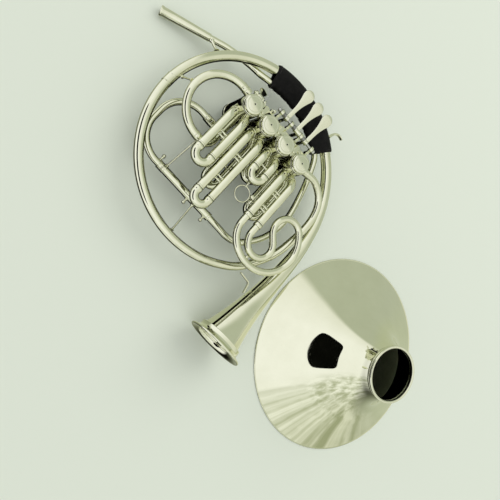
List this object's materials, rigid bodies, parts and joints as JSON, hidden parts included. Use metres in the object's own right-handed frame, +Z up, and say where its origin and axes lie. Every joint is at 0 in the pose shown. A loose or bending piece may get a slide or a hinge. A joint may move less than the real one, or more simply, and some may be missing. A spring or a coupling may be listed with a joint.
{
  "type": "french horn",
  "caption": "Double french horn in polished nickel silver, its rotary-valve body lying on its back and its unscrewed bell flare standing on the rim beside it.",
  "frame": {"origin": "centre of the bounding box in plan, on the surface the horn and its flare rest on", "axes": "+Z up from that surface; +Y from the bell flare towards the leadpipe's end; +X towards the side of the hand guard and the flare. The valve row and the slide legs run at 45 degrees between X and Y."},
  "size_m": [0.4948, 0.6494, 0.1267],
  "materials": {
    "nickel": "polished nickel silver",
    "brass": "turned",
    "steel": "satin",
    "leather": "black, grained"
  },
  "bodies": {
    "horn_body": {"bell_branch": "nickel", "bell_tail": "nickel", "tail_screw_ring": "nickel", "leadpipe": "nickel", "mouthpiece_receiver": "nickel", "hand_guard": "leather", "thumb_casing": "nickel", "thumb_cap": "nickel", "first_casing": "nickel", "first_cap": "nickel", "second_casing": "nickel", "second_cap": "nickel", "third_casing": "nickel", "third_cap": "nickel", "thumb_sleeves": "nickel", "first_sleeves": "nickel", "second_sleeves": "nickel", "third_sleeves": "nickel", "first_back_sleeves": "nickel", "second_back_sleeves": "nickel", "third_back_sleeves": "nickel", "main_sleeve_lower": "nickel", "main_sleeve_upper": "nickel", "front_crook": "nickel", "lever_bracket": "nickel", "lever_axle": "steel", "thumb_bracket": "nickel", "pinky_hook": "nickel", "slide_stay": "nickel", "ring_stay": "nickel", "crook_stay": "nickel", "leadpipe_strut": "nickel", "tail_stay": "nickel"},
    "thumb_valve": {"thumb_rotor": "brass", "thumb_stop_arm": "steel"},
    "thumb_key": {"thumb_lever": "nickel"},
    "thumb_rod": {"thumb_link_rod": "steel"},
    "first_valve": {"first_rotor": "brass", "first_stop_arm": "steel"},
    "first_key": {"first_lever": "nickel"},
    "first_rod": {"first_link_rod": "steel"},
    "second_valve": {"second_rotor": "brass", "second_stop_arm": "steel"},
    "second_key": {"second_lever": "nickel"},
    "second_rod": {"second_link_rod": "steel"},
    "third_valve": {"third_rotor": "brass", "third_stop_arm": "steel"},
    "third_key": {"third_lever": "nickel"},
    "third_rod": {"third_link_rod": "steel"},
    "thumb_tuning_slide": {"thumb_slide": "nickel"},
    "first_tuning_slide": {"first_slide": "nickel"},
    "second_tuning_slide": {"second_slide": "nickel", "second_pull_ring": "nickel"},
    "third_tuning_slide": {"third_slide": "nickel"},
    "first_back_tuning_slide": {"first_back_slide": "nickel"},
    "second_back_tuning_slide": {"second_back_slide": "nickel"},
    "third_back_tuning_slide": {"third_back_slide": "nickel"},
    "main_slide": {"main_tuning_slide": "nickel"},
    "flare": {"bell_flare": "nickel", "flare_screw_ring": "nickel"}
  },
  "joints": [
    {"name": "thumb_key_hinge", "type": "hinge", "parent": "horn_body", "child": "thumb_key", "pos_m": [-0.07698, 0.21214, 0.046], "axis": [0.7071, -0.7071, 0], "range_deg": [0, 24.4], "stiffness_Nm_per_rad": 0.3, "springref_deg": -17.19},
    {"name": "thumb_valve_turn", "type": "hinge", "parent": "horn_body", "child": "thumb_valve", "pos_m": [-0.10399, 0.19319, 0.014], "axis": [0, 0, 1], "range_deg": [0, 90]},
    {"name": "thumb_rod_hinge", "type": "hinge", "parent": "thumb_key", "child": "thumb_rod", "pos_m": [-0.07437, 0.20953, 0.0083], "axis": [0.7071, -0.7071, 0], "range_deg": [-24.4, 0]},
    {"name": "first_key_hinge", "type": "hinge", "parent": "horn_body", "child": "first_key", "pos_m": [-0.05076, 0.18591, 0.068], "axis": [-0.7071, 0.7071, 0], "range_deg": [0, 15.1], "stiffness_Nm_per_rad": 0.3, "springref_deg": -17.19},
    {"name": "first_valve_turn", "type": "hinge", "parent": "horn_body", "child": "first_valve", "pos_m": [-0.08038, 0.16957, 0.014], "axis": [0, 0, 1], "range_deg": [-90, 0]},
    {"name": "first_rod_hinge", "type": "hinge", "parent": "first_key", "child": "first_rod", "pos_m": [-0.05076, 0.18591, 0.0083], "axis": [-0.7071, 0.7071, 0], "range_deg": [-15.1, 0]},
    {"name": "second_key_hinge", "type": "hinge", "parent": "horn_body", "child": "second_key", "pos_m": [-0.02714, 0.16229, 0.068], "axis": [-0.7071, 0.7071, 0], "range_deg": [0, 15.1], "stiffness_Nm_per_rad": 0.3, "springref_deg": -17.19},
    {"name": "second_valve_turn", "type": "hinge", "parent": "horn_body", "child": "second_valve", "pos_m": [-0.05676, 0.14595, 0.014], "axis": [0, 0, 1], "range_deg": [-90, 0]},
    {"name": "second_rod_hinge", "type": "hinge", "parent": "second_key", "child": "second_rod", "pos_m": [-0.02714, 0.16229, 0.0083], "axis": [-0.7071, 0.7071, 0], "range_deg": [-15.1, 0]},
    {"name": "third_key_hinge", "type": "hinge", "parent": "horn_body", "child": "third_key", "pos_m": [-0.0168, 0.15196, 0.068], "axis": [-0.7071, 0.7071, 0], "range_deg": [0, 15.1], "stiffness_Nm_per_rad": 0.3, "springref_deg": -17.19},
    {"name": "third_valve_turn", "type": "hinge", "parent": "horn_body", "child": "third_valve", "pos_m": [-0.03314, 0.12234, 0.014], "axis": [0, 0, 1], "range_deg": [0, 90]},
    {"name": "third_rod_hinge", "type": "hinge", "parent": "third_key", "child": "third_rod", "pos_m": [-0.0168, 0.15196, 0.0083], "axis": [-0.7071, 0.7071, 0], "range_deg": [-15.1, 0]},
    {"name": "thumb_slide_pull", "type": "slide", "parent": "horn_body", "child": "thumb_tuning_slide", "axis": [-0.7071, -0.7071, 0], "range_m": [0, 0.045]},
    {"name": "first_slide_pull", "type": "slide", "parent": "horn_body", "child": "first_tuning_slide", "axis": [-0.7071, -0.7071, 0], "range_m": [0, 0.08]},
    {"name": "second_slide_pull", "type": "slide", "parent": "horn_body", "child": "second_tuning_slide", "axis": [-0.7071, -0.7071, 0], "range_m": [0, 0.009]},
    {"name": "third_slide_pull", "type": "slide", "parent": "horn_body", "child": "third_tuning_slide", "axis": [-0.7071, -0.7071, 0], "range_m": [0, 0.055]},
    {"name": "first_back_slide_pull", "type": "slide", "parent": "horn_body", "child": "first_back_tuning_slide", "axis": [-0.7071, -0.7071, 0], "range_m": [0, 0.045]},
    {"name": "second_back_slide_pull", "type": "slide", "parent": "horn_body", "child": "second_back_tuning_slide", "axis": [-0.7071, -0.7071, 0], "range_m": [0, 0.01]},
    {"name": "third_back_slide_pull", "type": "slide", "parent": "horn_body", "child": "third_back_tuning_slide", "axis": [-0.7071, -0.7071, 0], "range_m": [0, 0.035]},
    {"name": "main_slide_pull", "type": "slide", "parent": "horn_body", "child": "main_slide", "axis": [-0.7071, 0.7071, 0], "range_m": [0, 0.022]},
    {"name": "flare_lift", "type": "slide", "parent": "horn_body", "child": "flare", "axis": [0, 0, 1], "range_m": [0, 0.12]}
  ],
  "couplings": [
    {"joint": "thumb_valve_turn", "follows": "thumb_key_hinge", "ratio": 3.688},
    {"joint": "thumb_rod_hinge", "follows": "thumb_key_hinge", "ratio": -1},
    {"joint": "first_valve_turn", "follows": "first_key_hinge", "ratio": -5.96},
    {"joint": "first_rod_hinge", "follows": "first_key_hinge", "ratio": -1},
    {"joint": "second_valve_turn", "follows": "second_key_hinge", "ratio": -5.96},
    {"joint": "second_rod_hinge", "follows": "second_key_hinge", "ratio": -1},
    {"joint": "third_valve_turn", "follows": "third_key_hinge", "ratio": 5.96},
    {"joint": "third_rod_hinge", "follows": "third_key_hinge", "ratio": -1}
  ]
}
